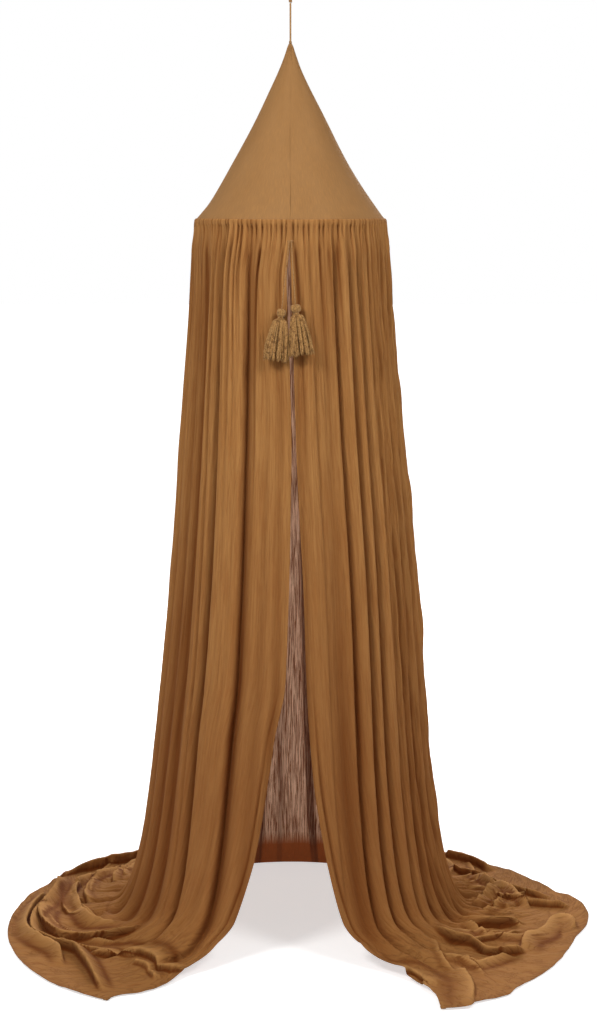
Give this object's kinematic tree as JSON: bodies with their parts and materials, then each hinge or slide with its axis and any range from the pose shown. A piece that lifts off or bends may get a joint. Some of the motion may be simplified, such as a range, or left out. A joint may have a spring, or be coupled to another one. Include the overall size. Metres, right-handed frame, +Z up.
{
  "type": "bed crown canopy",
  "caption": "Hanging bed canopy: a smooth cloth cone on a hoop with a long gathered gauze skirt, slit at the front, with tassels, its hem pooled on the floor.",
  "frame": {"origin": "the point where the hanging loop bears on its hook", "axes": "+Z up, -Y towards the front with the slit, +X to the right of someone facing the front; the floor is at z = -2.5 m"},
  "size_m": [1.5599, 1.3824, 2.505],
  "materials": {
    "gauze": "matte crinkled cotton gauze",
    "cone_cloth": "matte smooth cotton",
    "yarn": "matte cotton yarn",
    "cord": "matte twisted cotton",
    "hoop_plastic": "satin",
    "ferrule_brass": "drawn"
  },
  "bodies": {
    "hanger": {"hanging_loop": "cord", "loop_whipping": "cord", "hanging_cord": "cord", "stopper_knot": "cord"},
    "canopy": {"cone_tip_binding": "cord", "cone_left": "cone_cloth", "cone_right": "cone_cloth", "hoop_casing": "cone_cloth", "hoop_segment_1": "hoop_plastic", "hoop_segment_2": "hoop_plastic", "hoop_segment_3": "hoop_plastic", "hoop_segment_4": "hoop_plastic", "hoop_ferrule_1": "ferrule_brass", "hoop_ferrule_2": "ferrule_brass", "hoop_ferrule_3": "ferrule_brass", "hoop_ferrule_4": "ferrule_brass", "back_curtain": "gauze", "slit_tack": "cord"},
    "left_curtain": {"left_curtain": "gauze"},
    "right_curtain": {"right_curtain": "gauze"},
    "left_tassel_cord": {"left_tassel_cord": "cord"},
    "left_tassel": {"left_tassel_head": "yarn", "left_tassel_binding": "yarn", "left_tassel_skirt": "yarn"},
    "right_tassel_cord": {"right_tassel_cord": "cord"},
    "right_tassel": {"right_tassel_head": "yarn", "right_tassel_binding": "yarn", "right_tassel_skirt": "yarn"}
  },
  "joints": [
    {"name": "canopy_swivel", "type": "hinge", "parent": "hanger", "child": "canopy", "pos_m": [0, 0, -0.15], "axis": [0, 0, 1], "continuous": true},
    {"name": "left_curtain_draw", "type": "hinge", "parent": "canopy", "child": "left_curtain", "pos_m": [0, 0, -0.611], "axis": [0, 0, -1], "range_deg": [0, 28], "deforming": ["left_curtain"]},
    {"name": "right_curtain_draw", "type": "hinge", "parent": "canopy", "child": "right_curtain", "pos_m": [0, 0, -0.611], "axis": [0, 0, 1], "range_deg": [0, 28], "deforming": ["right_curtain"]},
    {"name": "left_tassel_swing", "type": "hinge", "parent": "canopy", "child": "left_tassel_cord", "pos_m": [-0.0025, -0.26437, -0.657], "axis": [0, 1, 0], "range_deg": [0, 30]},
    {"name": "left_tassel_tip", "type": "hinge", "parent": "left_tassel_cord", "child": "left_tassel", "pos_m": [-0.0209, -0.2861, -0.8257], "axis": [-1, 0, 0], "range_deg": [0, 40]},
    {"name": "right_tassel_swing", "type": "hinge", "parent": "canopy", "child": "right_tassel_cord", "pos_m": [0.0025, -0.26437, -0.657], "axis": [0, -1, 0], "range_deg": [0, 30]},
    {"name": "right_tassel_tip", "type": "hinge", "parent": "right_tassel_cord", "child": "right_tassel", "pos_m": [0.0129, -0.2852, -0.8147], "axis": [-1, 0, 0], "range_deg": [0, 40]}
  ]
}
